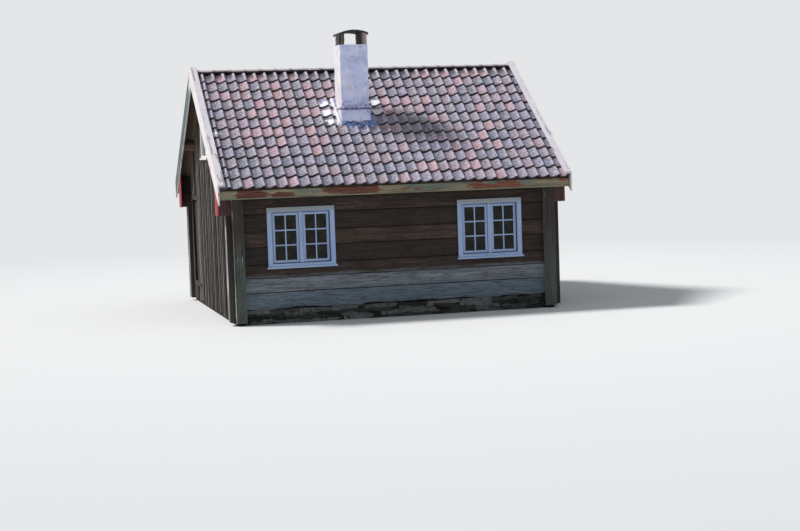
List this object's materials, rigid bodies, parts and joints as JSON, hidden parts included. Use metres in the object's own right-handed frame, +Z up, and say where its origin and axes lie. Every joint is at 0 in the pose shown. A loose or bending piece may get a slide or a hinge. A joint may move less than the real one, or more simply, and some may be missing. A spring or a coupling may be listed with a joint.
{
  "type": "log cottage with pantile roof",
  "caption": "Small log cottage on a dry stone foundation, with a pantile gable roof, white bargeboards and a limewashed chimney.",
  "frame": {"origin": "on the ground, under the middle of the house", "axes": "+Z up, +X to the right along the front wall, +Y from the front wall to the back wall"},
  "size_m": [6.66, 6.44, 5.3799],
  "materials": {
    "dry_stone": "split grey field stone, laid dry",
    "log_timber": "hewn pine logs, dark brown with age, silver grey low down",
    "sawn_boards": "sawn pine boards, unpainted",
    "clay_tiles": "unglazed clay pantiles, weathered grey and pink",
    "white_paint": "white oil paint on pine, worn and cracked",
    "peeling_paint": "old grey-green paint peeling from brown pine",
    "red_paint": "dark red paint on pine",
    "weathered_boards": "vertical pine boards and battens, weathered grey-brown",
    "limewash": "limewash over rough rendered masonry",
    "window_paint": "white oil paint on pine window frames",
    "window_glass": "old drawn window glass"
  },
  "bodies": {
    "root": {"foundation_front": "dry_stone", "foundation_back": "dry_stone", "foundation_left": "dry_stone", "foundation_right": "dry_stone", "front_wall": "log_timber", "back_wall": "log_timber", "left_gable_wall": "log_timber", "right_gable_wall": "log_timber", "floor_joists": "sawn_boards", "floor_boards": "sawn_boards", "loft_beams": "log_timber", "loft_boards": "sawn_boards", "ridge_purlin": "log_timber", "side_purlins": "log_timber", "front_roof_boards": "sawn_boards", "back_roof_boards": "sawn_boards", "tile_battens": "sawn_boards", "front_tiles": "clay_tiles", "back_tiles": "clay_tiles", "ridge_tiles": "clay_tiles", "left_bargeboards": "white_paint", "right_bargeboards": "white_paint", "left_cap_boards": "white_paint", "right_cap_boards": "white_paint", "eave_fascias": "peeling_paint", "plate_end_boards": "red_paint", "left_gable_cladding": "weathered_boards", "right_gable_cladding": "weathered_boards", "front_corner_cases": "weathered_boards", "back_corner_cases": "weathered_boards", "chimney_base": "dry_stone", "chimney_stack": "limewash", "chimney_foot": "limewash", "chimney_cap": "limewash", "front_window_casings": "window_paint", "front_window_sashes": "window_paint", "front_window_glass": "window_glass", "back_window_casings": "window_paint", "back_window_sashes": "window_paint", "back_window_glass": "window_glass", "attic_window_casings": "window_paint", "attic_window_sashes": "window_paint", "attic_window_glass": "window_glass", "door_casing": "weathered_boards", "door_leaf": "weathered_boards"}
  },
  "joints": []
}
